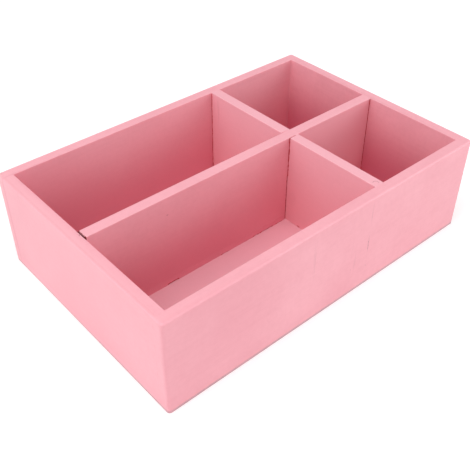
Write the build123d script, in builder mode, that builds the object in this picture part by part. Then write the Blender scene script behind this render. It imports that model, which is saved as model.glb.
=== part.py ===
from build123d import *
import os

# A four-cell countertop organizer, a painted wooden box with a long divider and a cross divider.
# Millimetres. The origin is the middle of the underside, +X runs along the length to the right,
# the front board faces -Y and +Z is up.

# Outside of the box
length = 300.0
width = 200.0
height = 82.0

# Stock
wall_thickness = 9.0
divider_thickness = 9.0
panel_thickness = 2.0

# Length of the two square cells at the right, from the right end board to the cross divider
small_cell_length = 86.5

# Rebate along the foot of the walls that takes the bottom panel
rebate_width = 4.5
panel_fit = 0.25

# Edges: the box's upright corners are sanded round the most, then its outer rim, and the others are eased
corner_round = 2.5
edge_round = 1.5
eased_round = 0.5

# The crossing: the upper part of the long divider runs through, the lower part of the cross divider
halving_share = 0.55
slot_fit = 0.5

# Gaps left by the dividers: at their ends, and under the foot of the long one
end_gap = 0.8
foot_gap = 0.4

# Brads of flat wire, with a T head and a chisel point
brad_width = 1.2
brad_wire_thickness = 1.0
brad_head_width = 1.9
brad_head_thickness = 0.4
brad_point_length = 1.5
brad_fit = 0.05
wall_brad_length = 25.0
bottom_brad_length = 18.0
brad_set_depth = 1.0

# Heights of the brads up a wall, as shares of the box's height
corner_brad_shares = (0.2, 0.5, 0.8)
divider_brad_shares = (0.3, 0.75)

# Places of the bottom brads along each edge, as shares of its half length from the middle
long_edge_brad_shares = (-0.86, -0.29, 0.29, 0.86)
short_edge_brad_shares = (-0.55, 0.55)

# Sizes and places that follow
inner_length = length - 2 * wall_thickness
inner_width = width - 2 * wall_thickness
seat_length = inner_length + 2 * rebate_width
seat_width = inner_width + 2 * rebate_width
cross_x = inner_length / 2 - small_cell_length - divider_thickness / 2
divider_height = height - panel_thickness
halving_z = panel_thickness + halving_share * divider_height
slot_width = divider_thickness + 2 * slot_fit
end_line_x = (length - wall_thickness) / 2
end_seat_x = inner_length / 2 + rebate_width / 2
front_seat_y = inner_width / 2 + rebate_width / 2


def brad_form(reach, clearance=0.0):
    """A brad on its head, with its point up; with a clearance, the hole that it lies in."""
    head = brad_head_width / 2 + clearance
    shank = brad_width / 2 + clearance
    neck = brad_head_thickness + clearance
    shoulder = reach - brad_point_length
    with BuildPart() as form:
        with BuildSketch(Plane.XZ):
            with BuildLine():
                outline = Polyline(
                    (0, -clearance),
                    (head, -clearance),
                    (head, neck),
                    (shank, neck),
                    (shank, shoulder),
                    (0, reach + clearance),
                )
                mirror(outline, about=Plane.YZ)
            make_face()
        extrude(amount=brad_wire_thickness / 2 + clearance, both=True)
    return form.part


def driven(spots, into):
    """Places for brads with their heads at the spots, driven in the given direction."""
    return [Plane(origin=spot, z_dir=into).location for spot in spots]


def wall_spots(spot_x, spot_y, shares):
    """Spots for the heads of a row of brads up a wall."""
    return [(spot_x, spot_y, share * height) for share in shares]


# Where the brads go: their heads are set a little below the outer faces and filled over
head_y = width / 2 - brad_set_depth
head_x = length / 2 - brad_set_depth

front_spots = []
back_spots = []
for line_x, shares in (
    (-end_line_x, corner_brad_shares),
    (cross_x, divider_brad_shares),
    (end_line_x, corner_brad_shares),
):
    front_spots += wall_spots(line_x, -head_y, shares)
    back_spots += wall_spots(line_x, head_y, shares)
left_spots = wall_spots(-head_x, 0, divider_brad_shares)
right_spots = wall_spots(head_x, 0, divider_brad_shares)

bottom_spots = []
for side in (-1, 1):
    for share in long_edge_brad_shares:
        bottom_spots.append((share * inner_length / 2, side * front_seat_y, 0))
    for share in short_edge_brad_shares:
        bottom_spots.append((side * end_seat_x, share * inner_width / 2, 0))
    bottom_spots.append((cross_x, side * inner_width / 4, 0))
long_cell_length = inner_length - small_cell_length - divider_thickness
for third in (1, 2):
    bottom_spots.append((-inner_length / 2 + third * long_cell_length / 3, 0, 0))
bottom_spots.append(((inner_length - small_cell_length) / 2, 0, 0))

front_places = driven(front_spots, (0, 1, 0))
back_places = driven(back_spots, (0, -1, 0))
left_places = driven(left_spots, (1, 0, 0))
right_places = driven(right_spots, (-1, 0, 0))
bottom_places = driven(bottom_spots, (0, 0, 1))

wall_brad = brad_form(wall_brad_length)
wall_brad_hole = brad_form(wall_brad_length, brad_fit)
bottom_brad = brad_form(bottom_brad_length)
bottom_brad_hole = brad_form(bottom_brad_length, brad_fit)

# The four walls in one, rounded over and eased as they are once glued up
with BuildPart() as carcass:
    with BuildSketch():
        Rectangle(length, width)
    extrude(amount=height)
    fillet(carcass.edges().filter_by(Axis.Z), radius=corner_round)
    fillet(carcass.faces().sort_by(Axis.Z)[-1].edges(), radius=edge_round)
    fillet(carcass.faces().sort_by(Axis.Z)[0].edges(), radius=eased_round)
    with BuildSketch():
        Rectangle(inner_length, inner_width)
    extrude(amount=height, mode=Mode.SUBTRACT)
    mouth = carcass.faces().sort_by(Axis.Z)[-1].inner_wires()[0].edges()
    fillet(mouth, radius=eased_round)
    with BuildSketch():
        Rectangle(seat_length, seat_width)
    extrude(amount=panel_thickness, mode=Mode.SUBTRACT)

# Front board, full length, rebated for the panel between its ends
with BuildPart() as front_board:
    add(carcass.part)
    with BuildSketch():
        with Locations((0, -(width - wall_thickness) / 2)):
            Rectangle(length, wall_thickness)
    extrude(amount=height, mode=Mode.INTERSECT)
    with Locations(front_places):
        add(wall_brad_hole, mode=Mode.SUBTRACT)
    with Locations(bottom_places):
        add(bottom_brad_hole, mode=Mode.SUBTRACT)

# Back board, the front board's twin
with BuildPart() as back_board:
    add(carcass.part)
    with BuildSketch():
        with Locations((0, (width - wall_thickness) / 2)):
            Rectangle(length, wall_thickness)
    extrude(amount=height, mode=Mode.INTERSECT)
    with Locations(back_places):
        add(wall_brad_hole, mode=Mode.SUBTRACT)
    with Locations(bottom_places):
        add(bottom_brad_hole, mode=Mode.SUBTRACT)

# Left end board, butted between the front and back boards
with BuildPart() as left_end_board:
    add(carcass.part)
    with BuildSketch():
        with Locations((-end_line_x, 0)):
            Rectangle(wall_thickness, inner_width)
    extrude(amount=height, mode=Mode.INTERSECT)
    with Locations(front_places + back_places + left_places):
        add(wall_brad_hole, mode=Mode.SUBTRACT)
    with Locations(bottom_places):
        add(bottom_brad_hole, mode=Mode.SUBTRACT)

# Right end board, likewise
with BuildPart() as right_end_board:
    add(carcass.part)
    with BuildSketch():
        with Locations((end_line_x, 0)):
            Rectangle(wall_thickness, inner_width)
    extrude(amount=height, mode=Mode.INTERSECT)
    with Locations(front_places + back_places + right_places):
        add(wall_brad_hole, mode=Mode.SUBTRACT)
    with Locations(bottom_places):
        add(bottom_brad_hole, mode=Mode.SUBTRACT)

# Bottom panel, flush with the underside
with BuildPart() as bottom_panel:
    with BuildSketch():
        Rectangle(seat_length - 2 * panel_fit, seat_width - 2 * panel_fit)
    extrude(amount=panel_thickness)
    with Locations(bottom_places):
        add(bottom_brad_hole, mode=Mode.SUBTRACT)

# Long divider, slotted from below, its upper part unbroken
with BuildPart() as long_divider:
    foot_z = panel_thickness + foot_gap
    with BuildSketch(Plane.XZ):
        with Locations((0, foot_z)):
            Rectangle(inner_length - 2 * end_gap, height - foot_z, align=(Align.CENTER, Align.MIN))
        with Locations((cross_x, foot_z)):
            Rectangle(slot_width, halving_z - foot_z, align=(Align.CENTER, Align.MIN), mode=Mode.SUBTRACT)
    extrude(amount=divider_thickness / 2, both=True)
    top_edges = long_divider.edges().filter_by(Axis.X).group_by(Axis.Z)[-1]
    fillet(top_edges, radius=eased_round)
    with Locations(left_places + right_places):
        add(wall_brad_hole, mode=Mode.SUBTRACT)
    with Locations(bottom_places):
        add(bottom_brad_hole, mode=Mode.SUBTRACT)

# Cross divider, slotted from above, its lower part unbroken and standing on the panel
with BuildPart() as cross_divider:
    with BuildSketch(Plane.YZ.offset(cross_x)):
        with Locations((0, panel_thickness)):
            Rectangle(inner_width - 2 * end_gap, divider_height, align=(Align.CENTER, Align.MIN))
        with Locations((0, halving_z)):
            Rectangle(slot_width, height - halving_z, align=(Align.CENTER, Align.MIN), mode=Mode.SUBTRACT)
    extrude(amount=divider_thickness / 2, both=True)
    top_edges = cross_divider.edges().filter_by(Axis.Y).group_by(Axis.Z)[-1]
    fillet(top_edges, radius=eased_round)
    with Locations(front_places + back_places):
        add(wall_brad_hole, mode=Mode.SUBTRACT)
    with Locations(bottom_places):
        add(bottom_brad_hole, mode=Mode.SUBTRACT)

# Brads, one group for each board that they are driven through
with BuildPart() as front_brads:
    with Locations(front_places):
        add(wall_brad)

with BuildPart() as back_brads:
    with Locations(back_places):
        add(wall_brad)

with BuildPart() as left_end_brads:
    with Locations(left_places):
        add(wall_brad)

with BuildPart() as right_end_brads:
    with Locations(right_places):
        add(wall_brad)

with BuildPart() as bottom_brads:
    with Locations(bottom_places):
        add(bottom_brad)

pieces = {
    "front_board": front_board,
    "back_board": back_board,
    "left_end_board": left_end_board,
    "right_end_board": right_end_board,
    "bottom_panel": bottom_panel,
    "long_divider": long_divider,
    "cross_divider": cross_divider,
    "front_brads": front_brads,
    "back_brads": back_brads,
    "left_end_brads": left_end_brads,
    "right_end_brads": right_end_brads,
    "bottom_brads": bottom_brads,
}
os.makedirs("parts", exist_ok=True)
for name, piece in pieces.items():
    piece.part.label = name
    export_step(piece.part, f"parts/{name}.step")
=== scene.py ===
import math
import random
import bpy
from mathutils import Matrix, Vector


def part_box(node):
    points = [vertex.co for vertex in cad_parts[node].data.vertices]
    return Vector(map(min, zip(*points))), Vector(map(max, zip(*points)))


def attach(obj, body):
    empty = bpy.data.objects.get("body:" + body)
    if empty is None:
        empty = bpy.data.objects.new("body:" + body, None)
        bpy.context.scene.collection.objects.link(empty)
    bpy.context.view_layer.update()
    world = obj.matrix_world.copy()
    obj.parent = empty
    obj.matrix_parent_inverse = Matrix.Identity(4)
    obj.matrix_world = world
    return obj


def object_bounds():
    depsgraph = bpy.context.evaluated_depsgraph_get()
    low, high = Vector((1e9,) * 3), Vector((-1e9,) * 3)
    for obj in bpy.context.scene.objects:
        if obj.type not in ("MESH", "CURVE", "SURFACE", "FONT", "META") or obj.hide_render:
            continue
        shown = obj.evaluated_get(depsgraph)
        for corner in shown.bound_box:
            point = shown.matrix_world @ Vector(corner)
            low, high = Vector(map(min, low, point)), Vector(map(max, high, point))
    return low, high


bl_info = {
    "name": "Coffee Station Organizer",
    "version": (1, 0, 0),
    "blender": (4, 5, 0),
    "location": "View3D > Sidebar > Organizer",
    "description": "Paints the four-cell wooden organizer and sets its stage",
    "category": "Object",
}

import bmesh
import bpy
from mathutils import Matrix, Vector

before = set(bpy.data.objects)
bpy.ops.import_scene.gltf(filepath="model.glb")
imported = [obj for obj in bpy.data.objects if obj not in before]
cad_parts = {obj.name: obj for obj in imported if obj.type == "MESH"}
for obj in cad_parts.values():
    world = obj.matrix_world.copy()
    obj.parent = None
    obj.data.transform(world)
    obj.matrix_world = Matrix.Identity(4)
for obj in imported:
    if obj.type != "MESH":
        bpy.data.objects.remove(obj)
cad_low, cad_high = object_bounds()

MM = 0.001
X, Y, Z = Vector((1, 0, 0)), Vector((0, 1, 0)), Vector((0, 0, 1))

# Faces of the box that the paint and the filler are fitted to
rim_z = cad_high.z
floor_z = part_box("bottom_panel")[1].z
well_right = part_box("right_end_board")[0].x
well_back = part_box("back_board")[0].y
long_low, long_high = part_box("long_divider")
cross_low, cross_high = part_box("cross_divider")
end_gap = well_right - long_high.x

# The crossing: the gap beside each divider in the other's slot, and the height at which the slots meet
slot_clearance = 0.5 * MM
halving_share = 0.55
halving_z = floor_z + halving_share * (rim_z - floor_z)

# How far the tops' edges are eased, and where the dark joint lines and their painted shade end, under the
# filler
eased_edge = 0.5 * MM
joint_shade_top = rim_z - 0.8 * MM

# Painted shade deepens in the cells between these two depths under the rim
cell_shade_start, cell_shade_full = 8 * MM, 68 * MM

# Unevenness of the film: shares of the deeper colour in its clouds, in its mottle and along the grain
cloud_share, mottle_share, grain_share = 0.12, 0.09, 0.07
deeper_share = 0.86

# Specks of dust under the film: how far apart and how high they are, how much they darken it, and the
# radii of their tops and feet as shares of the spacing
nib_spacing, nib_height, nib_share = 14 * MM, 0.08 * MM, 0.08
nib_top, nib_foot = 0.016, 0.03

# How much of the worn colour shows along rubbed edges and on the thin underside
rubbed_share, thin_share = 0.30, 0.35

# Gloss: how far the roughness wanders, and how much duller a worn place is
gloss_spread, worn_dulling = 0.05, 0.5

# How far cracks, specks and the painted shade of open joints are sunk
mark_depth = 0.2 * MM

# Beads of paint in the upright gaps: how far they lie back, how deep they reach and where they stop
bead_recess, bead_reach = 0.06 * MM, 1.5 * MM
bead_foot, bead_top = floor_z + 0.3 * MM, rim_z - 1.2 * MM

# Where the beads stand open: from and to as shares of the height, and the width as a share of the gap
crossing_runs = (
    (0.03, 0.3, 0.5),
    (0.37, 0.43, 1.3),
    (0.51, 0.56, 1.3),
    (0.63, 0.7, 1.4),
    (0.75, 0.84, 1.6),
    (0.9, 0.96, 1.6),
)
halving_runs = ((0.08, 1.0, 1.3),)
back_end_runs = (
    (0.04, 0.12, 0.9),
    (0.17, 0.22, 1.0),
    (0.27, 0.4, 0.8),
    (0.46, 0.52, 1.0),
    (0.58, 0.96, 0.6),
)
front_end_runs = ((0.05, 0.5, 0.8), (0.62, 0.97, 0.6))
right_end_runs = ((0.04, 0.98, 0.5),)

# Height at which the thin run up the back right corner starts
corner_run_foot = 38 * MM

# Where the paint along the long divider's foot has pulled away from the floor: from, to and how far. From and
# to are places along X at the left of the crossing, and shares of the run's length at its right.
foot_lifts = (
    (-0.079, -0.0685, 1.0 * MM),
    (-0.026, -0.019, 0.45 * MM),
    (0.008, 0.014, 0.7 * MM),
    (0.016, 0.030, 0.6 * MM),
    (0.034, 0.041, 0.5 * MM),
)
short_foot_lifts = ((0.5, 0.56, 0.4 * MM),)

# Softboxes: their names, places and sides, and the stage's value that holds their power
SOFTBOXES = (
    ("left_softbox", (-1.475, 0.06, 0.66), 1.2, "left_power"),
    ("front_softbox", (0.88, -1.25, 0.5), 1.2, "front_power"),
    ("right_softbox", (0.6, -0.5, 0.16), 0.35, "right_power"),
    ("top_softbox", (-0.4, -0.2, 1.5), 1.4, "top_power"),
)

WHITE = (1.0, 1.0, 1.0, 1.0)

# What the colours and the lengths that a user can change have in common
COLOUR = {"subtype": "COLOR", "size": 4, "min": 0.0, "max": 1.0}
LENGTH = {"subtype": "DISTANCE", "unit": "LENGTH"}


class OrganizerPaint(bpy.types.PropertyGroup):
    """The satin paint that covers the whole box, with its painted light and shade."""

    colour: bpy.props.FloatVectorProperty(
        name="Paint colour",
        description="Colour of the film on the outside and on the tops",
        default=(0.95, 0.445, 0.505, 1.0),
        **COLOUR,
    )
    # Painted shade: the colour that the cells' walls are darkened to, low down
    cell_shade_colour: bpy.props.FloatVectorProperty(
        name="Cell colour",
        description="Colour of the heavier film low down in the cells",
        default=(0.81, 0.262, 0.328, 1.0),
        **COLOUR,
    )
    # Painted light: the bottom panel's lighter copy of the paint, standing in for the light the cell floors
    # catch from above
    panel_lit_colour: bpy.props.FloatVectorProperty(
        name="Panel colour",
        description="Colour of the lighter coat on the bottom panel",
        default=(0.87, 0.445, 0.51, 1.0),
        **COLOUR,
    )
    # Painted light: the cross divider's lighter copy of the paint, standing in for the light its left faces
    # catch
    cross_lit_colour: bpy.props.FloatVectorProperty(
        name="Cross divider colour",
        description="Colour of the lighter coat on the cross divider",
        default=(0.94, 0.457, 0.519, 1.0),
        **COLOUR,
    )
    # Painted shade: the milder darkening low down on the cross divider
    cross_shade_colour: bpy.props.FloatVectorProperty(
        name="Cross divider's cell colour",
        description="Colour low down on the cross divider",
        default=(0.905, 0.40, 0.455, 1.0),
        **COLOUR,
    )
    # Painted light: the paler colour round the left end, towards its back and top
    pale_lit_colour: bpy.props.FloatVectorProperty(
        name="Pale colour",
        description="Colour of the slightly paler coat round the left end",
        default=(0.955, 0.467, 0.525, 1.0),
        **COLOUR,
    )
    # Painted shade: the stronger darkening low down on the right end board's inner face
    end_shade_colour: bpy.props.FloatVectorProperty(
        name="Right end's cell colour",
        description="Colour low down on the right end board",
        default=(0.70, 0.178, 0.245, 1.0),
        **COLOUR,
    )
    worn_colour: bpy.props.FloatVectorProperty(
        name="Worn colour",
        description="Colour where the film is rubbed thin along the edges",
        default=(0.84, 0.34, 0.38, 1.0),
        **COLOUR,
    )
    # Partly painted shade: bare wood and broken paint in a joint, and the shade down in its gap
    joint_shade_colour: bpy.props.FloatVectorProperty(
        name="Seam colour",
        description="Colour of the thin paint and bare wood down in an open joint",
        default=(0.52, 0.02, 0.03, 1.0),
        **COLOUR,
    )
    # Painted shade: the paint in the gaps is given a dark copy of its colour, as it sits in shade
    gap_shade_colour: bpy.props.FloatVectorProperty(
        name="Gap colour",
        description="Colour of the paint that has run into the gaps",
        default=(0.60, 0.03, 0.042, 1.0),
        **COLOUR,
    )
    # Also the painted shade in the open joint at the long divider's left end, and near the cross divider's
    # back end
    mark_and_shade_colour: bpy.props.FloatVectorProperty(
        name="Mark colour",
        description="Colour of hairline cracks, specks and scuffs",
        default=(0.26, 0.022, 0.03, 1.0),
        **COLOUR,
    )
    # Painted shade: the dark line along the walls' feet, where they meet the floor
    foot_shade_colour: bpy.props.FloatVectorProperty(
        name="Foot colour",
        description="Colour of the scuffs along the walls' lower edge",
        default=(0.48, 0.32, 0.34, 1.0),
        **COLOUR,
    )
    roughness: bpy.props.FloatProperty(
        name="Roughness",
        description="Mean roughness of the satin film",
        min=0.0,
        max=1.0,
        default=0.52,
    )
    stipple_size: bpy.props.FloatProperty(
        name="Stipple size",
        description="Size of the fine ripple that the spray leaves",
        default=1.0 * MM,
        **LENGTH,
    )
    stipple_depth: bpy.props.FloatProperty(
        name="Stipple depth",
        description="Height of that ripple",
        default=0.015 * MM,
        **LENGTH,
    )
    grain_size: bpy.props.FloatProperty(
        name="Grain size",
        description="Width of the wood grain that shows through the film",
        default=2.2 * MM,
        **LENGTH,
    )
    grain_depth: bpy.props.FloatProperty(
        name="Grain depth",
        description="Height of that grain",
        default=0.016 * MM,
        **LENGTH,
    )


class OrganizerFiller(bpy.types.PropertyGroup):
    """Filler and paint in the gaps between the pieces."""

    fill_depth: bpy.props.FloatProperty(
        name="Fill depth",
        description="How deep the filler on top of a gap reaches",
        default=1.3 * MM,
        **LENGTH,
    )
    fill_sag: bpy.props.FloatProperty(
        name="Fill sag",
        description="How far the filler lies under the tops beside it",
        default=0.03 * MM,
        **LENGTH,
    )
    crossing_sag: bpy.props.FloatProperty(
        name="Crossing sag",
        description="How far it has sunk at the left of the crossing's seams",
        default=0.45 * MM,
        **LENGTH,
    )
    bead_step: bpy.props.FloatProperty(
        name="Bead step",
        description="Distance between the sections of a bead of paint",
        default=0.5 * MM,
        **LENGTH,
    )


class OrganizerStage(bpy.types.PropertyGroup):
    """Floor and lamps."""

    floor_size: bpy.props.FloatProperty(
        name="Floor size",
        description="Side of the square floor",
        default=4.0,
        **LENGTH,
    )
    sky: bpy.props.FloatProperty(
        name="Sky strength",
        description="Strength of the even white surround",
        min=0.0,
        default=0.484,
    )
    left_power: bpy.props.FloatProperty(
        name="Left softbox",
        description="Power of the softbox at the left",
        min=0.0,
        default=7.6,
    )
    front_power: bpy.props.FloatProperty(
        name="Front softbox",
        description="Power of the low softbox before the front board",
        min=0.0,
        default=7.25,
    )
    right_power: bpy.props.FloatProperty(
        name="Right softbox",
        description="Power of the small low softbox near the right end",
        min=0.0,
        default=0.45,
    )
    top_power: bpy.props.FloatProperty(
        name="Top softbox",
        description="Power of the softbox overhead",
        min=0.0,
        default=12.1,
    )


class OrganizerCamera(bpy.types.PropertyGroup):
    """Where the photograph was taken from."""

    place: bpy.props.FloatVectorProperty(
        name="Camera place",
        description="Position of the lens",
        subtype="TRANSLATION",
        unit="LENGTH",
        size=3,
        default=(-0.30645, -0.34162, 0.38406),
    )
    aim: bpy.props.FloatVectorProperty(
        name="Aim",
        description="Point in the middle of the picture",
        subtype="TRANSLATION",
        unit="LENGTH",
        size=3,
        default=(-0.03164, -0.02812, 0.0401),
    )
    roll: bpy.props.FloatProperty(
        name="Roll",
        description="Turn of the camera about its own axis",
        subtype="ANGLE",
        unit="ROTATION",
        default=math.radians(0.18),
    )
    lens: bpy.props.FloatProperty(
        name="Lens",
        description="Focal length for a 36 mm sensor, in millimetres",
        min=1.0,
        default=55.7,
    )


def mm(*values):
    """The values, from millimetres to metres."""
    return tuple(value * MM for value in values)


def add_node(tree, kind, settings=None, inputs=None):
    """Adds a node. Settings are its own properties, inputs are values or sockets by name or index."""
    node = tree.nodes.new(kind)
    for name, value in (settings or {}).items():
        setattr(node, name, value)
    for name, value in (inputs or {}).items():
        if isinstance(value, bpy.types.NodeSocket):
            tree.links.new(value, node.inputs[name])
        else:
            node.inputs[name].default_value = value
    return node


def maths(tree, operation, first, second=0.0, third=0.0):
    """The result of one Math node."""
    node = add_node(tree, "ShaderNodeMath", {"operation": operation}, {0: first, 1: second, 2: third})
    return node.outputs[0]


def times(tree, *factors):
    """The product of two or more values."""
    product = factors[0]
    for factor in factors[1:]:
        product = maths(tree, "MULTIPLY", product, factor)
    return product


def larger(tree, first, second):
    """The larger of two values, or the second where there is no first yet."""
    return second if first is None else maths(tree, "MAXIMUM", first, second)


def vector_maths(tree, operation, first, second):
    """The result of one Vector Math node on two places."""
    node = add_node(tree, "ShaderNodeVectorMath", {"operation": operation}, {0: first, 1: second})
    return node.outputs["Vector"]


def length_of(tree, offset):
    """How long an offset is."""
    node = add_node(tree, "ShaderNodeVectorMath", {"operation": "LENGTH"}, {0: offset})
    return node.outputs["Value"]


def coordinates(tree, place):
    """The X, Y and Z of a place, by name."""
    return add_node(tree, "ShaderNodeSeparateXYZ", None, {0: place}).outputs


def ramp(tree, value, start, end, low=0.0, high=1.0):
    """Goes smoothly from low to high as the value goes from start to end."""
    limits = {"Value": value, "From Min": start, "From Max": end, "To Min": low, "To Max": high}
    node = add_node(tree, "ShaderNodeMapRange", {"interpolation_type": "SMOOTHSTEP"}, limits)
    return node.outputs["Result"]


def blend(tree, share, first, second):
    """The first colour, with the given share of the second."""
    node = add_node(tree, "ShaderNodeMix", {"data_type": "RGBA"}, {"Factor": share, 6: first, 7: second})
    return node.outputs[2]


def either(tree, share, first, second):
    """The first shader node's light, with the given share of the second's."""
    inputs = {0: share, 1: first.outputs[0], 2: second.outputs[0]}
    return add_node(tree, "ShaderNodeMixShader", None, inputs).outputs[0]


def noise(tree, place, size, detail=2.0, roughness=0.5, distortion=0.0):
    """A noise field from 0 to 1, whose coarsest features have the given size."""
    values = {
        "Vector": place,
        "Scale": 1.0 / size,
        "Detail": detail,
        "Roughness": roughness,
        "Distortion": distortion,
    }
    return add_node(tree, "ShaderNodeTexNoise", None, values).outputs["Fac"]


def stretched(tree, place, axis, share):
    """The place, squeezed along one axis so that a noise on it runs long that way."""
    scale = [1.0, 1.0, 1.0]
    scale["XYZ".index(axis)] = share
    node = add_node(tree, "ShaderNodeMapping", None, {"Vector": place, "Scale": scale})
    return node.outputs["Vector"]


def blot(tree, place, centre, radii, fade=0.6):
    """1 at the centre of an ellipsoid and 0 outside it, with a fade over its outer share."""
    scaled = vector_maths(tree, "DIVIDE", vector_maths(tree, "SUBTRACT", place, centre), radii)
    return ramp(tree, length_of(tree, scaled), 1.0 - fade, 1.0, 1.0, 0.0)


def streaks(tree, place, centre, radii, strength):
    """Faint upright streaks within an ellipsoid."""
    lines = noise(tree, stretched(tree, place, "Z", 0.04), 1.6 * MM, detail=2.0)
    return times(tree, ramp(tree, lines, 0.52, 0.66), strength, blot(tree, place, centre, radii))


def speck(tree, place, centre, radii, strength):
    """A ragged speck or scuff."""
    ragged = noise(tree, place, 1.2 * MM, detail=3.0, roughness=0.7)
    return times(tree, ramp(tree, ragged, 0.35, 0.6), strength, blot(tree, place, centre, radii))


def joint_line_and_shade(tree, place, low, high, strength):
    """A dark joint line, partly bare wood and broken paint, partly painted shade down in the gap: full
    strength between two corners of a box, broken and fading raggedly round it.
    """
    parts = coordinates(tree, place)
    past = None
    for axis, start, end in zip("XYZ", low, high):
        off = maths(tree, "ABSOLUTE", maths(tree, "SUBTRACT", parts[axis], (start + end) / 2))
        past = larger(tree, past, maths(tree, "SUBTRACT", off, (end - start) / 2))
    uneven = noise(tree, stretched(tree, place, "Z", 0.5), 1.6 * MM, detail=3.0, roughness=0.7)
    ragged = maths(tree, "MULTIPLY_ADD", uneven, -1.6 * MM, maths(tree, "ADD", past, 0.8 * MM))
    line = ramp(tree, ragged, 0.0, 0.3 * MM, strength, 0.0)
    broken = ramp(tree, noise(tree, place, 2.6 * MM, detail=2.0), 0.4, 0.52, 0.6, 1.0)
    return times(tree, line, broken)


def open_joint_shade(tree, place, low, high, strength):
    """An open joint: bare end grain and painted shade down in the gap, darker than one that the paint has run
    into.
    """
    return joint_line_and_shade(tree, place, low, high, strength)


def lit_patch(tree, place, centre, radii, strength):
    """Painted light: where a face in a cell is given back the outside colour, lighter than the painted shade
    round it.
    """
    return times(tree, blot(tree, place, centre, radii), strength)


def pale_lit_patch(tree, place, centre, radii, strength):
    """Painted light: where the film is painted slightly paler."""
    return times(tree, blot(tree, place, centre, radii), strength)


def shaded_patch(tree, place, centre, radii, strength):
    """Painted shade: where the film is painted a deeper colour."""
    return times(tree, blot(tree, place, centre, radii), strength)


def foot_shade(tree, place, height, strength):
    """Painted shade along the lower edge of a wall's faces, where they meet the floor, up to a height. The
    underside has none.
    """
    level = coordinates(tree, place)["Z"]
    uneven = ramp(tree, noise(tree, place, 7 * MM, detail=3.0), 0.35, 0.65, 0.75 * strength, strength)
    above_underside = ramp(tree, level, 0.02 * MM, 0.3 * MM)
    return times(tree, ramp(tree, level, 0.5 * height, height, 1.0, 0.0), uneven, above_underside)


def dabs(tree, place, size, strength):
    """Dabs of the cells' painted shade colour, all over."""
    return ramp(tree, noise(tree, place, size, detail=2.0), 0.49, 0.57, 0.0, strength)


def hairline(tree, place, centre, radius, strength):
    """A crack that curls round part of a circle, in a level face."""
    offset = vector_maths(tree, "SUBTRACT", place, centre)
    off_line = maths(tree, "ABSOLUTE", maths(tree, "SUBTRACT", length_of(tree, offset), radius))
    parts = coordinates(tree, offset)
    on_side = ramp(tree, maths(tree, "ADD", parts["X"], parts["Y"]), 0.0, 0.8 * MM)
    return times(tree, ramp(tree, off_line, 0.1 * MM, 0.35 * MM, strength, 0.0), on_side)


def edge_distance(tree, parts, low, high):
    """Distance to the nearest edge of a box, for a point on one of its faces.

    Such a point lies on one face, so the edge is as far as the second nearest face.
    """
    near = []
    for axis, (start, end) in zip("XYZ", zip(low, high)):
        middle, half = (start + end) / 2, (end - start) / 2
        away = maths(tree, "ABSOLUTE", maths(tree, "SUBTRACT", parts[axis], middle))
        near.append(maths(tree, "SUBTRACT", half, away))
    nearer = maths(tree, "MINIMUM", near[0], near[1])
    further = larger(tree, near[0], near[1])
    return larger(tree, nearer, maths(tree, "MINIMUM", further, near[2]))


def cell_shade_share(tree, parts):
    """How much painted shade a point in the cells has: none outside, more with depth."""
    past_end = maths(tree, "SUBTRACT", maths(tree, "ABSOLUTE", parts["X"]), well_right)
    past_side = maths(tree, "SUBTRACT", maths(tree, "ABSOLUTE", parts["Y"]), well_back)
    inside = ramp(tree, larger(tree, past_end, past_side), 0.7 * MM, 0.05 * MM)
    depth = maths(tree, "SUBTRACT", rim_z, parts["Z"])
    return times(tree, inside, ramp(tree, depth, cell_shade_start, cell_shade_full))


def edge_wear(tree, place, parts, node, grain):
    """How far the film is worn: rubbed along the board's edges, and thin on its underside."""
    rim = edge_distance(tree, parts, *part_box(node))
    ragged = noise(tree, place, 6 * MM, detail=4.0, roughness=0.65)
    near_edge = ramp(tree, rim, 0.15 * MM, 0.9 * MM, 1.0, 0.0)
    rubbed = times(tree, near_edge, ramp(tree, ragged, 0.5, 0.7))
    under = ramp(tree, parts["Z"], 0.1 * MM, 0.5 * MM, 1.0, 0.0)
    thin = times(tree, under, ramp(tree, grain, 0.45, 0.7))
    return larger(tree, times(tree, rubbed, rubbed_share), times(tree, thin, thin_share))


def film_relief(tree, layers):
    """The film's normals, from layers of (height, depth, whether it is sunk)."""
    relief = None
    for height, depth, sunk in layers:
        values = {"Strength": 1.0, "Distance": depth, "Height": height}
        if relief is not None:
            values["Normal"] = relief
        relief = add_node(tree, "ShaderNodeBump", {"invert": sunk}, values).outputs[0]
    return relief


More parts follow.
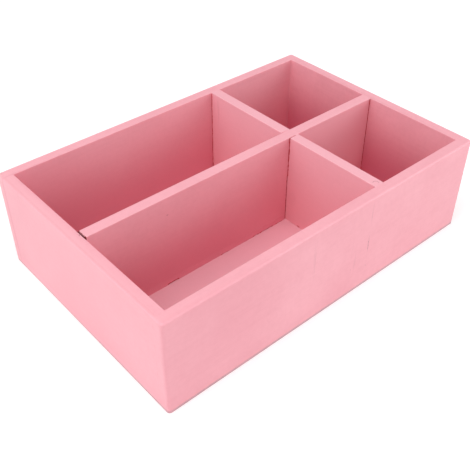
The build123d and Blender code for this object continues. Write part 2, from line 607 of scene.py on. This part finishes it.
def satin_paint(name, node, paint, grain_axis, marks=(), colour=None, deep=None):
    """Satin paint over a sanded board, with painted shade deepening low in the cells.

    The marks are (function, its values). Patches of painted light and shade, the painted shade along the foot
    and dabs give the film another colour where they lie, dark joint lines with painted shade in their gaps
    show the joint, and the others, among them the painted shade of open joints, darken the film and sink into
    it.
    """
    material = bpy.data.materials.new(name)
    material.use_nodes = True
    tree = material.node_tree
    tree.nodes.clear()
    output = add_node(tree, "ShaderNodeOutputMaterial")
    shader = add_node(tree, "ShaderNodeBsdfPrincipled")
    tree.links.new(shader.outputs["BSDF"], output.inputs["Surface"])
    place = add_node(tree, "ShaderNodeTexCoord").outputs["Object"]
    parts = coordinates(tree, place)

    grain_place = stretched(tree, place, grain_axis, 0.03)
    grain = noise(tree, grain_place, paint.grain_size, detail=4.0, roughness=0.6, distortion=0.4)
    clouds = noise(tree, place, 60 * MM, detail=3.0, roughness=0.55)
    mottle = noise(tree, place, 3.5 * MM, detail=3.0, roughness=0.6)
    stipple = noise(tree, place, paint.stipple_size, detail=2.0)
    scatter = {"Vector": place, "Scale": 1.0 / nib_spacing, "Randomness": 1.0}
    nibs = add_node(tree, "ShaderNodeTexVoronoi", {"feature": "F1"}, scatter)
    nib = ramp(tree, nibs.outputs["Distance"], nib_top, nib_foot, 1.0, 0.0)

    # Colour: outside to painted shade deep in a cell, then a little unevenness, edge wear, marks, and patches
    # of painted light and shade
    outer = colour or tuple(paint.colour)
    deep = deep or tuple(paint.cell_shade_colour)
    plain = blend(tree, cell_shade_share(tree, parts), outer, deep)
    in_clouds = times(tree, ramp(tree, clouds, 0.3, 0.7), cloud_share)
    in_mottle = times(tree, ramp(tree, mottle, 0.3, 0.75), mottle_share)
    along_grain = times(tree, ramp(tree, grain, 0.4, 0.75), grain_share)
    uneven = maths(tree, "ADD", in_clouds, maths(tree, "ADD", in_mottle, along_grain))
    deeper = tuple(deeper_share * value for value in deep[:3]) + (1.0,)
    film = blend(tree, uneven, plain, deeper)
    wear = edge_wear(tree, place, parts, node, grain)
    film = blend(tree, wear, film, tuple(paint.worn_colour))

    # Colours of the patches of painted light and shade, of the painted shade along the foot and of the dabs
    light_shade_colours = {
        lit_patch: outer,
        pale_lit_patch: tuple(paint.pale_lit_colour),
        shaded_patch: deep,
        foot_shade: tuple(paint.foot_shade_colour),
        dabs: tuple(paint.cell_shade_colour),
    }
    dark = times(tree, nib, nib_share)
    joint = None
    for mark, values in marks:
        amount = mark(tree, place, *values)
        if mark in light_shade_colours:
            film = blend(tree, amount, film, light_shade_colours[mark])
        elif mark is joint_line_and_shade:
            joint = larger(tree, joint, amount)
        else:
            dark = larger(tree, dark, amount)
    film = blend(tree, dark, film, tuple(paint.mark_and_shade_colour))
    # Dark joint lines, partly painted shade in the gaps
    if joint is not None:
        film = blend(tree, joint, film, tuple(paint.joint_shade_colour))
    tree.links.new(film, shader.inputs["Base Color"])

    # Gloss: satin, uneven, and duller where the film is worn
    glossy, dull = paint.roughness - gloss_spread, paint.roughness + gloss_spread
    patchy = ramp(tree, clouds, 0.3, 0.7, glossy, dull)
    lowered = maths(tree, "SUBTRACT", patchy, gloss_spread)
    fine = maths(tree, "MULTIPLY_ADD", mottle, 2 * gloss_spread, lowered)
    roughness = maths(tree, "MULTIPLY_ADD", wear, worn_dulling, fine)
    tree.links.new(roughness, shader.inputs["Roughness"])

    # Relief: spray ripple, grain that shows through, specks under the film, and marks sunk into it
    layers = (
        (stipple, paint.stipple_depth, False),
        (grain, paint.grain_depth, False),
        (nib, nib_height, False),
        (dark, mark_depth, True),
    )
    tree.links.new(film_relief(tree, layers), shader.inputs["Normal"])
    return material


def dress(node_names, material):
    """Gives CAD nodes a finished material through their slots."""
    for name in node_names:
        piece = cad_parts[name]
        if not piece.material_slots:
            piece.data.materials.append(material)
        for slot in piece.material_slots:
            slot.material = material


def paint_board(node, grain_axis, marks=(), colour=None, deep=None):
    """Paints one CAD board in its own material; colour and deep, where given, are its lit copy of the paint
    and its painted shade.
    """
    paint = bpy.context.scene.organizer_paint
    dress((node,), satin_paint(f"paint_on_{node}", node, paint, grain_axis, marks, colour, deep))


class ORGANIZER_OT_paint_walls(bpy.types.Operator):
    """Paints the four boards round the box"""

    bl_idname = "organizer.paint_walls"
    bl_label = "Paint the walls"

    def execute(self, context):
        paint = context.scene.organizer_paint
        left_x, front_y = cad_low.x, cad_low.y
        well_front, well_left = -well_back, -well_right

        # Lowest and highest corners of the dark joint lines, with painted shade in their gaps
        # The first two are faint dark lines along the near upright corner and the left end's outer top edge
        near_edge = (left_x, front_y - MM, 5 * MM), (left_x + MM, front_y + MM, rim_z - 4 * MM)
        top_edge = (left_x + MM, -96 * MM, rim_z - MM), (left_x + 2.4 * MM, 96 * MM, rim_z + MM)
        back_corner = (
            (well_right - 0.1 * MM, well_back - 0.1 * MM, corner_run_foot),
            (well_right + MM, well_back + MM, joint_shade_top),
        )
        cross_end_back = (cross_low.x, well_back - MM, floor_z), (cross_high.x, well_back + MM, joint_shade_top)
        cross_end_front = (cross_low.x, well_front - MM, floor_z), (cross_high.x, well_front + MM, joint_shade_top)
        long_end_right = (well_right - MM, long_low.y, floor_z), (well_right + MM, long_high.y, joint_shade_top)
        long_end_left = (
            (well_left - MM, long_low.y, floor_z),
            (well_left + MM, long_high.y, rim_z - 0.3 * MM),
        )

        # Places, radii and strengths of the marks
        # Painted shade along the walls' feet
        foot = foot_shade, (3.2 * MM, 0.75)
        # Painted light round the left end, paler towards the back and top
        left_lit_patch = pale_lit_patch, ((left_x, 60 * MM, 60 * MM), mm(9, 200, 130), 0.6)
        # Painted shade on the right end board's inner face
        right_shaded_patch = shaded_patch, ((well_right, 0.0, 60 * MM), mm(4, 130, 90), 0.11)
        front_marks = (
            foot,
            left_lit_patch,
            # Painted shade on the front face, darker towards its left end
            (shaded_patch, ((left_x, front_y, 58 * MM), mm(120, 5, 75), 0.17)),
            (streaks, ((22 * MM, front_y, 42 * MM), mm(6, 4, 26), 0.16)),
            (streaks, ((-22 * MM, front_y, 57 * MM), mm(2.5, 4, 26), 0.14)),
            (speck, ((35.2 * MM, front_y, 41 * MM), mm(0.8, 2, 11), 0.45)),
            (speck, ((35 * MM, front_y, 69 * MM), mm(0.7, 2, 12), 0.18)),
            (speck, ((35.8 * MM, front_y, 19 * MM), mm(0.9, 2, 1.2), 0.3)),
            (speck, ((18 * MM, front_y, 24.5 * MM), mm(0.9, 2, 1.2), 0.25)),
            (joint_line_and_shade, (*near_edge, 0.05)),
            (joint_line_and_shade, (*cross_end_front, 0.7)),
        )
        back_marks = (
            foot,
            left_lit_patch,
            # Painted shade on the back board's inner face, towards its left end
            (shaded_patch, ((well_left, well_back, 45 * MM), mm(90, 3, 60), 0.4)),
            (joint_line_and_shade, (*cross_end_back, 0.5)),
            (joint_line_and_shade, (*back_corner, 0.4)),
        )
        # The left end board's marks include painted shade in the open gap behind the long divider's left end
        left_marks = (foot, left_lit_patch, (joint_line_and_shade, (*top_edge, 0.07)), (open_joint_shade, (*long_end_left, 1.0)))
        right_marks = (foot, right_shaded_patch, (joint_line_and_shade, (*long_end_right, 0.25)), (joint_line_and_shade, (*back_corner, 0.4)))
        paint_board("front_board", "X", front_marks)
        paint_board("back_board", "X", back_marks)
        paint_board("left_end_board", "Y", left_marks)
        # The right end board's inner face takes its own, darker painted shade low down
        paint_board("right_end_board", "Y", right_marks, deep=tuple(paint.end_shade_colour))
        return {"FINISHED"}


class ORGANIZER_OT_paint_panel(bpy.types.Operator):
    """Paints the bottom panel"""

    bl_idname = "organizer.paint_panel"
    bl_label = "Paint the bottom panel"

    def execute(self, context):
        # The panel takes its lighter copy of the paint everywhere, with none of the cells' painted shade
        coat = tuple(context.scene.organizer_paint.panel_lit_colour)
        paint_board("bottom_panel", "X", colour=coat, deep=coat)
        return {"FINISHED"}


class ORGANIZER_OT_paint_dividers(bpy.types.Operator):
    """Paints the long and the cross divider"""

    bl_idname = "organizer.paint_dividers"
    bl_label = "Paint the dividers"

    def execute(self, context):
        paint = context.scene.organizer_paint
        left_x, front_y = cross_low.x, long_low.y
        square_cell_x = (cross_high.x + well_right) / 2

        # Lowest and highest corners of the dark joint lines on the long divider, with painted shade in and
        # beside their gaps
        front, back = long_low.y - MM, long_high.y + MM
        slot_left = (cross_low.x - slot_clearance, front, floor_z), (cross_low.x, back, halving_z)
        slot_right = (cross_high.x, front, floor_z), (cross_high.x + slot_clearance, back, halving_z)
        right_end = (long_high.x, front, floor_z), (well_right, back, joint_shade_top)
        left_end = (-well_right, front, floor_z), (long_low.x + 0.5 * MM, back, rim_z + MM)
        # Painted shade on the long divider's faces beside the cross divider, above the halving
        crossing_side = (
            (cross_low.x - 0.4 * MM, front, halving_z),
            (cross_high.x + 0.4 * MM, back, joint_shade_top),
        )
        long_marks = (
            # Painted light on the long divider's front face, strong in the square cell and faint right of the
            # middle
            (lit_patch, ((square_cell_x, front_y, 45 * MM), mm(70, 5, 60), 0.95)),
            (lit_patch, ((25 * MM, front_y, 35 * MM), mm(60, 5, 60), 0.22)),
            (speck, ((-74.7 * MM, front_y, 67 * MM), mm(1.4, 1, 0.9), 0.3)),
            (joint_line_and_shade, (*slot_left, 0.95)),
            (joint_line_and_shade, (*slot_right, 0.95)),
            (joint_line_and_shade, (*right_end, 0.3)),
            (joint_line_and_shade, (*crossing_side, 0.65)),
            # Painted shade and bare end grain in the open gap at the long divider's left end
            (open_joint_shade, (*left_end, 1.0)),
        )

        # The same on the cross divider
        left, right = cross_low.x - MM, cross_high.x + MM
        slot_front = (left, long_low.y - 0.6 * MM, halving_z), (right, long_low.y, joint_shade_top)
        slot_back = (left, long_high.y, halving_z), (right, long_high.y + slot_clearance, joint_shade_top)
        back_end = (left, cross_high.y, floor_z), (right, well_back, joint_shade_top)
        front_end = (left, -well_back, floor_z), (right, cross_low.y, joint_shade_top)
        # Painted shade on the cross divider inside the long divider's slot
        halving_side = (
            (left, long_low.y - 0.1 * MM, floor_z),
            (right, long_high.y + 0.1 * MM, halving_z),
        )
        crossing_line = (cross_low.x, -5.3 * MM, rim_z - MM), (51.5 * MM, -4.6 * MM, rim_z + MM)
        foot_spot = (left_x - MM, -21.6 * MM, floor_z), (left_x + MM, -18.6 * MM, 3.2 * MM)
        cross_marks = (
            (joint_line_and_shade, (*slot_front, 1.0)),
            (joint_line_and_shade, (*slot_back, 0.95)),
            (joint_line_and_shade, (*back_end, 0.6)),
            (joint_line_and_shade, (*front_end, 0.7)),
            (joint_line_and_shade, (*halving_side, 0.6)),
            (joint_line_and_shade, (*crossing_line, 0.8)),
            (joint_line_and_shade, (*foot_spot, 0.55)),
            (speck, ((left_x, -11 * MM, 27 * MM), mm(1, 6, 11), 0.07)),
            # Painted shade near the back corner, drawn as faint upright streaks
            (streaks, ((left_x, 84 * MM, 66 * MM), mm(1, 7, 16), 0.16)),
            (hairline, ((49.5 * MM, -88.3 * MM, rim_z), 2.2 * MM, 0.5)),
        )
        paint_board("long_divider", "X", long_marks)
        # The cross divider's lighter copy of the paint, and its milder painted shade low down
        coat, deep = tuple(paint.cross_lit_colour), tuple(paint.cross_shade_colour)
        paint_board("cross_divider", "Y", cross_marks, coat, deep)

        # What has run into the gaps, in a dark shaded copy of the paint with dabs of the cells' painted
        # shade, and what has pooled along the long divider's foot
        gap_shade, bead_marks = tuple(paint.gap_shade_colour), ((dabs, (3.2 * MM, 0.6)),)
        satin_paint("bead_paint", "long_divider", paint, "Z", bead_marks, gap_shade, gap_shade)
        # Painted shade under the foot run where it has lifted off the floor
        lift_shade_marks = tuple(
            (joint_line_and_shade, ((low, -10 * MM, floor_z - MM), (high, 10 * MM, floor_z + height), 1.0))
            for low, high, height in foot_lifts
        )
        satin_paint("foot_paint", "long_divider", paint, "X", lift_shade_marks)
        return {"FINISHED"}


class ORGANIZER_OT_finish_brads(bpy.types.Operator):
    """Gives the brads their bright steel"""

    bl_idname = "organizer.finish_brads"
    bl_label = "Finish the brads"

    def execute(self, context):
        material = bpy.data.materials.new("brad_steel")
        material.use_nodes = True
        tree = material.node_tree
        shader = tree.nodes["Principled BSDF"]
        shader.inputs["Metallic"].default_value = 1.0
        place = add_node(tree, "ShaderNodeTexCoord").outputs["Object"]
        scratches = noise(tree, stretched(tree, place, "X", 0.2), 0.25 * MM, detail=3.0)
        stains = ramp(tree, noise(tree, place, 1.1 * MM, detail=3.0), 0.45, 0.7)
        bright, stained = (0.56, 0.55, 0.54, 1.0), (0.36, 0.31, 0.28, 1.0)
        tree.links.new(blend(tree, stains, bright, stained), shader.inputs["Base Color"])
        tree.links.new(ramp(tree, scratches, 0.3, 0.7, 0.25, 0.5), shader.inputs["Roughness"])
        dress([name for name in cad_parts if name.endswith("brads")], material)
        return {"FINISHED"}


def add_piece(name, points, faces, material):
    """A new piece of the box from points in metres, closed and with its normals outwards."""
    mesh = bpy.data.meshes.new(name)
    mesh.from_pydata(points, [], faces)
    mesh.validate()
    form = bmesh.new()
    form.from_mesh(mesh)
    bmesh.ops.recalc_face_normals(form, faces=form.faces)
    form.to_mesh(mesh)
    form.free()
    piece = bpy.data.objects.new(name, mesh)
    bpy.context.scene.collection.objects.link(piece)
    mesh.materials.append(material)
    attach(piece, "root")
    return piece


def clamped(value, low=0.0, high=1.0):
    """The value, kept between low and high."""
    return min(high, max(low, value))


def wander(count, knots_every, seed):
    """Numbers from 0 to 1 that wander along a line, one for each station."""
    chance = random.Random(seed)
    knots = [chance.random() for _ in range(count // knots_every + 3)]
    values = []
    for station in range(count):
        knot, rest = divmod(station, knots_every)
        share = rest / knots_every
        smooth = share * share * (3 - 2 * share)
        value = knots[knot] * (1 - smooth) + knots[knot + 1] * smooth
        values.append(clamped(0.85 * value + 0.15 * chance.random()))
    return values


def tube_faces(sections, corners, first=0):
    """Quads round a row of sections, with a cap at either end."""
    faces = [tuple(reversed(range(first, first + corners)))]
    for section in range(sections - 1):
        near = first + section * corners
        far = near + corners
        for corner in range(corners):
            following = (corner + 1) % corners
            faces.append((near + corner, near + following, far + following, far + corner))
    last = first + (sections - 1) * corners
    faces.append(tuple(range(last, last + corners)))
    return faces


def ragged_bead(name, spot, heights, across, outward, gap, open_runs, slot, seed):
    """Paint in an upright gap: a ragged lip along each side, which meet where the paint has bridged it.

    The spot is the x and y of the gap's first side, level with the face. The open runs are (from, to, width),
    as shares of the height and of the gap.
    """
    step = bpy.context.scene.organizer_filler.bead_step
    start, end = (Vector((*spot, height)) for height in heights)
    line = end - start
    count = max(3, round(line.length / step) + 1)
    rough = wander(count, 3, seed)
    drift = wander(count, 7, seed + 1)
    root, run_fade = 0.15 * MM, 0.02
    points = []
    for side in (0, 1):
        for station in range(count):
            share = station / (count - 1)
            openness = 0.0
            for run_start, run_end, width in open_runs:
                inside = min(share - run_start, run_end - share) / run_fade
                openness = max(openness, width * clamped(inside))
            opening = gap * openness * (0.25 + 0.4 * rough[station])
            middle = gap * (0.35 + 0.3 * drift[station])
            if side == 0:
                tip, base = middle - opening / 2, -root
            else:
                tip, base = middle + opening / 2, gap + root
            tip = clamped(tip, 0.0, gap)
            sunk = bead_recess * (0.6 + 0.8 * drift[station])
            here = start + line * share
            points.append(here + across * base - outward * sunk)
            points.append(here + across * tip - outward * (sunk + 0.4 * bead_recess))
            points.append(here + across * tip - outward * bead_reach)
            points.append(here + across * base - outward * bead_reach)
    faces = tube_faces(count, 4) + tube_faces(count, 4, first=4 * count)
    # The beads take the dark, shaded copy of the paint
    return add_piece(name, points, faces, bpy.data.materials["bead_paint"])


def paint_run(name, start, end, outward, up, spread, rise, lifts, seed):
    """Paint that has pooled in an inner corner: a ragged run that flares from one face out on to another.

    The lifts are (from, to, height), the first two as shares of the length. There the run has pulled away
    from the face that it flares on to.
    """
    step = bpy.context.scene.organizer_filler.bead_step
    line = end - start
    count = max(3, round(line.length / step) + 1)
    rough = wander(count, 3, seed)
    drift = wander(count, 9, seed + 1)
    taper_length, lift_fade = 3 * MM, 0.01
    points = []
    for station in range(count):
        share = station / (count - 1)
        taper = min(1.0, 0.2 + min(share, 1 - share) * line.length / taper_length)
        out = spread * taper * (0.65 + 0.4 * drift[station] + 0.3 * rough[station])
        top = rise * taper * (0.7 + 0.6 * drift[station])
        lift = 0.0
        for run_start, run_end, height in lifts:
            inside = min(share - run_start, run_end - share) / lift_fade
            lift = max(lift, height * clamped(inside) * (0.5 + 0.8 * rough[station]))
        here = start + line * share
        for away, level in (
            (0.0, lift),
            (out, lift),
            (0.8 * out, lift + 0.12 * top),
            (0.4 * out, 0.5 * top),
            (0.08 * out, 0.95 * top),
            (0.0, top),
        ):
            points.append(here + outward * away + up * level)
    return add_piece(name, points, tube_faces(count, 6), bpy.data.materials["foot_paint"])


def top_fill(name, low, high, depth, along, sags, divider, seed):
    """Filler over the top of a divider's gap, with its ends eased like the board's edges.

    Low and high are the x and y of two corners, and along is the axis of its longer side. The sags are how
    far its top has sunk at the two ends.
    """
    low, high = Vector((*low, rim_z - depth)), Vector((*high, rim_z))
    cells = (18, 4) if along == "X" else (4, 18)
    chance = random.Random(seed)
    size = high - low
    points = []
    for level in (0, 1):
        for row in range(cells[1] + 1):
            for column in range(cells[0] + 1):
                share = column / cells[0], row / cells[1]
                x, y = low.x + size.x * share[0], low.y + size.y * share[1]
                if level == 0:
                    points.append((x, y, low.z))
                    continue
                run = share["XY".index(along)]
                length = size["XY".index(along)]
                from_end = min(run, 1 - run) * length
                inset = max(0.0, eased_edge - from_end)
                eased = eased_edge - math.sqrt(eased_edge**2 - inset**2)
                sunk = sags[0] * (1 - run) + sags[1] * run
                points.append((x, y, high.z - sunk * (0.7 + 0.6 * chance.random()) - eased))
    row_length = cells[0] + 1
    layer = row_length * (cells[1] + 1)
    faces = []
    for row in range(cells[1]):
        for column in range(cells[0]):
            corner = row * row_length + column
            quad = corner, corner + 1, corner + 1 + row_length, corner + row_length
            faces.append(tuple(reversed(quad)))
            faces.append(tuple(layer + index for index in quad))
    border = list(range(row_length))
    border += [row * row_length + cells[0] for row in range(1, cells[1] + 1)]
    border += [cells[1] * row_length + column for column in range(cells[0] - 1, -1, -1)]
    border += [row * row_length for row in range(cells[1] - 1, 0, -1)]
    for index, here in enumerate(border):
        after = border[(index + 1) % len(border)]
        faces.append((here, after, layer + after, layer + here))
    return add_piece(name, points, faces, bpy.data.materials[f"paint_on_{divider}"])


class ORGANIZER_OT_fill_ends(bpy.types.Operator):
    """Fills the tops of the gaps at the dividers' ends"""

    bl_idname = "organizer.fill_ends"
    bl_label = "Fill the dividers' ends"

    def execute(self, context):
        filler = context.scene.organizer_filler
        depth, sags = filler.fill_depth, (filler.fill_sag, filler.fill_sag)
        overlap, mouth = 0.3 * MM, 0.65 * MM
        low, high = (long_high.x - overlap, long_low.y), (well_right + mouth, long_high.y)
        top_fill("fill_long_divider_right_end", low, high, depth, "Y", sags, "long_divider", 11)
        for end_name, low_y, high_y, seed in (
            ("back", cross_high.y - overlap, well_back + mouth, 12),
            ("front", -well_back - mouth, cross_low.y + overlap, 13),
        ):
            name = f"fill_cross_divider_{end_name}_end"
            low, high = (cross_low.x, low_y), (cross_high.x, high_y)
            top_fill(name, low, high, depth, "X", sags, "cross_divider", seed)
        return {"FINISHED"}


class ORGANIZER_OT_fill_crossing(bpy.types.Operator):
    """Fills the seams across the top of the crossing, a little sunken"""

    bl_idname = "organizer.fill_crossing"
    bl_label = "Fill the crossing"

    def execute(self, context):
        filler = context.scene.organizer_filler
        depth, sags = 2 * filler.fill_depth, (filler.crossing_sag, filler.fill_sag)
        inner, outer = 0.6 * MM, slot_clearance + 0.15 * MM
        for face_name, low_y, high_y, seed in (
            ("front", long_low.y - outer, long_low.y + inner, 21),
            ("back", long_high.y - inner, long_high.y + outer, 22),
        ):
            name = f"fill_crossing_{face_name}_seam"
            low, high = (cross_low.x, low_y), (cross_high.x, high_y)
            top_fill(name, low, high, depth, "X", sags, "cross_divider", seed)
        return {"FINISHED"}


class ORGANIZER_OT_run_beads(bpy.types.Operator):
    """Runs ragged paint into the upright gaps and along the long divider's foot"""

    bl_idname = "organizer.run_beads"
    bl_label = "Run the beads of paint"

    def execute(self, context):
        # The cross divider's sides, and the long divider's faces
        sides = ("left", cross_low.x, -X), ("right", cross_high.x, X)
        faces = ("front", long_low.y, -Y), ("back", long_high.y, Y)

        # Upper half of the crossing, seen on the cross divider's faces
        heights = halving_z, bead_top
        for row, (side_name, x, outward) in enumerate(sides):
            for column, (face_name, y, across) in enumerate(faces):
                name, seed = f"bead_crossing_{face_name}_{side_name}", 31 + 10 * row + 2 * column
                gap = slot_clearance, crossing_runs
                ragged_bead(name, (x, y), heights, across, outward, *gap, "cross_divider", seed)

        # Lower half of the crossing, seen on the long divider's faces: nearly open
        heights = bead_foot, halving_z
        for row, (face_name, y, outward) in enumerate(faces):
            for column, (side_name, x, across) in enumerate(sides):
                name, seed = f"bead_halving_{face_name}_{side_name}", 51 + 10 * row + 2 * column
                gap = slot_clearance, halving_runs
                ragged_bead(name, (x, y), heights, across, outward, *gap, "long_divider", seed)

        # Ends of the cross divider, at the back and front boards
        heights = bead_foot, bead_top
        for row, (side_name, x, outward) in enumerate(sides):
            for end_name, y, across, open_runs, seed in (
                ("back", cross_high.y, Y, back_end_runs, 71),
                ("front", cross_low.y, -Y, front_end_runs, 81),
            ):
                name, gap = f"bead_{end_name}_end_{side_name}", (end_gap, open_runs)
                ragged_bead(name, (x, y), heights, across, outward, *gap, "cross_divider", seed + row)

        # Right end of the long divider, and its foot on either side of the crossing, where paint has pooled
        inset = 0.3 * MM
        long_start, long_end = long_low.x + inset, cross_low.x - inset
        short_start, short_end = cross_high.x + inset, long_high.x - inset
        run_length = long_end - long_start
        long_foot_lifts = tuple(
            ((low - long_start) / run_length, (high - long_start) / run_length, height)
            for low, high, height in foot_lifts
        )
        for row, (face_name, y, outward) in enumerate(faces):
            name, gap = f"bead_right_end_{face_name}", (end_gap, right_end_runs)
            ragged_bead(name, (long_high.x, y), heights, X, outward, *gap, "long_divider", 91 + row)
            for part_name, start_x, end_x, spread, rise, lifts, seed in (
                ("foot", long_start, long_end, 0.8 * MM, 4.5 * MM, long_foot_lifts, 101),
                ("short_foot", short_start, short_end, 0.7 * MM, 4 * MM, short_foot_lifts, 111),
            ):
                name = f"run_{part_name}_{face_name}"
                start, end = Vector((start_x, y, floor_z)), Vector((end_x, y, floor_z))
                paint_run(name, start, end, outward, Z, spread, rise, lifts, seed + row)

        # A thin run up the back right corner
        start = Vector((well_right, well_back, corner_run_foot))
        end = Vector((well_right, well_back, rim_z - MM))
        paint_run("run_back_right_corner", start, end, -Y, -X, 0.45 * MM, 0.9 * MM, (), 115)
        return {"FINISHED"}


def softbox(name, place, aim, size, power):
    """A square area lamp that faces its aim."""
    lamp = bpy.data.lights.new(name, "AREA")
    lamp.shape = "SQUARE"
    lamp.size = size
    lamp.energy = power
    holder = bpy.data.objects.new(name, lamp)
    bpy.context.scene.collection.objects.link(holder)
    holder.location = place
    holder.rotation_mode = "QUATERNION"
    holder.rotation_quaternion = (Vector(aim) - Vector(place)).to_track_quat("-Z", "Y")
    return holder


def floor_material():
    """A pale floor that shows white to the camera and keeps the box's soft shadow."""
    material = bpy.data.materials.new("pale_floor")
    material.use_nodes = True
    tree = material.node_tree
    tree.nodes.clear()
    output = add_node(tree, "ShaderNodeOutputMaterial")
    diffuse = add_node(tree, "ShaderNodeBsdfDiffuse", None, {"Color": (0.82, 0.82, 0.82, 1.0)})
    place = add_node(tree, "ShaderNodeTexCoord").outputs["Object"]
    glow_by_box, glow_away = 0.30, 0.8
    strength = ramp(tree, length_of(tree, place), 0.3, 1.6, glow_by_box, glow_away)
    glow = add_node(tree, "ShaderNodeEmission", None, {"Color": WHITE, "Strength": strength})
    lifted = add_node(tree, "ShaderNodeAddShader", None, {0: diffuse.outputs[0], 1: glow.outputs[0]})
    path = add_node(tree, "ShaderNodeLightPath").outputs
    reflected = larger(tree, path["Is Glossy Ray"], path["Is Transmission Ray"])
    seen = larger(tree, path["Is Camera Ray"], reflected)
    tree.links.new(either(tree, seen, diffuse, lifted), output.inputs["Surface"])
    return material


class ORGANIZER_OT_set_stage(bpy.types.Operator):
    """Sets the floor, the soft lamps and the camera"""

    bl_idname = "organizer.set_stage"
    bl_label = "Set the stage"

    def execute(self, context):
        scene = context.scene
        stage = scene.organizer_stage
        half = stage.floor_size / 2
        mesh = bpy.data.meshes.new("floor")
        corners = ((-half, -half), (half, -half), (half, half), (-half, half))
        # A hair above the underside, so that a look from below shows the box's face and not the floor's
        level = cad_low.z + 0.02 * MM
        mesh.from_pydata([(x, y, level) for x, y in corners], [], [(0, 1, 2, 3)])
        floor = bpy.data.objects.new("floor", mesh)
        scene.collection.objects.link(floor)
        mesh.materials.append(floor_material())

        world = bpy.data.worlds.new("white_surround")
        scene.world = world
        world.use_nodes = True
        tree = world.node_tree
        tree.nodes.clear()
        output = add_node(tree, "ShaderNodeOutputWorld")
        light = add_node(tree, "ShaderNodeBackground", None, {"Color": WHITE, "Strength": stage.sky})
        white = add_node(tree, "ShaderNodeBackground", None, {"Color": WHITE, "Strength": 1.0})
        seen = add_node(tree, "ShaderNodeLightPath").outputs["Is Camera Ray"]
        tree.links.new(either(tree, seen, light, white), output.inputs["Surface"])

        middle = (cad_low + cad_high) / 2
        for name, place, side, power in SOFTBOXES:
            softbox(name, place, middle, side, getattr(stage, power))

        view = scene.organizer_camera
        lens = bpy.data.cameras.new("camera")
        lens.sensor_width = 36.0
        lens.lens = view.lens
        lens.clip_start = 0.01
        camera = bpy.data.objects.new("camera", lens)
        scene.collection.objects.link(camera)
        scene.camera = camera
        sight = (Vector(view.aim) - Vector(view.place)).to_track_quat("-Z", "Y")
        turn = Matrix.Rotation(view.roll, 4, "Z")
        camera.matrix_world = Matrix.Translation(Vector(view.place)) @ sight.to_matrix().to_4x4() @ turn

        scene.view_settings.view_transform = "Standard"
        return {"FINISHED"}


class ORGANIZER_PT_panel(bpy.types.Panel):
    """Lists the organizer's sizes, colours and steps"""

    bl_idname = "ORGANIZER_PT_panel"
    bl_label = "Organizer"
    bl_space_type = "VIEW_3D"
    bl_region_type = "UI"
    bl_category = "Organizer"

    def draw(self, context):
        layout = self.layout
        for name in GROUPS:
            box = layout.box()
            group = getattr(context.scene, name)
            for key in group.__annotations__:
                box.prop(group, key)
        for operator in OPERATORS:
            layout.operator(operator.bl_idname)


GROUPS = {
    "organizer_paint": OrganizerPaint,
    "organizer_filler": OrganizerFiller,
    "organizer_stage": OrganizerStage,
    "organizer_camera": OrganizerCamera,
}
OPERATORS = (
    ORGANIZER_OT_paint_walls,
    ORGANIZER_OT_paint_panel,
    ORGANIZER_OT_paint_dividers,
    ORGANIZER_OT_finish_brads,
    ORGANIZER_OT_fill_ends,
    ORGANIZER_OT_fill_crossing,
    ORGANIZER_OT_run_beads,
    ORGANIZER_OT_set_stage,
)
CLASSES = (*GROUPS.values(), *OPERATORS, ORGANIZER_PT_panel)


def register():
    for cls in CLASSES:
        bpy.utils.register_class(cls)
    for name, group in GROUPS.items():
        setattr(bpy.types.Scene, name, bpy.props.PointerProperty(type=group))


def unregister():
    for name in GROUPS:
        delattr(bpy.types.Scene, name)
    for cls in reversed(CLASSES):
        bpy.utils.unregister_class(cls)


def main():
    register()
    bpy.ops.organizer.paint_walls()
    bpy.ops.organizer.paint_panel()
    bpy.ops.organizer.paint_dividers()
    bpy.ops.organizer.finish_brads()
    bpy.ops.organizer.fill_ends()
    bpy.ops.organizer.fill_crossing()
    bpy.ops.organizer.run_beads()
    bpy.ops.organizer.set_stage()


if __name__ == "__main__":
    main()
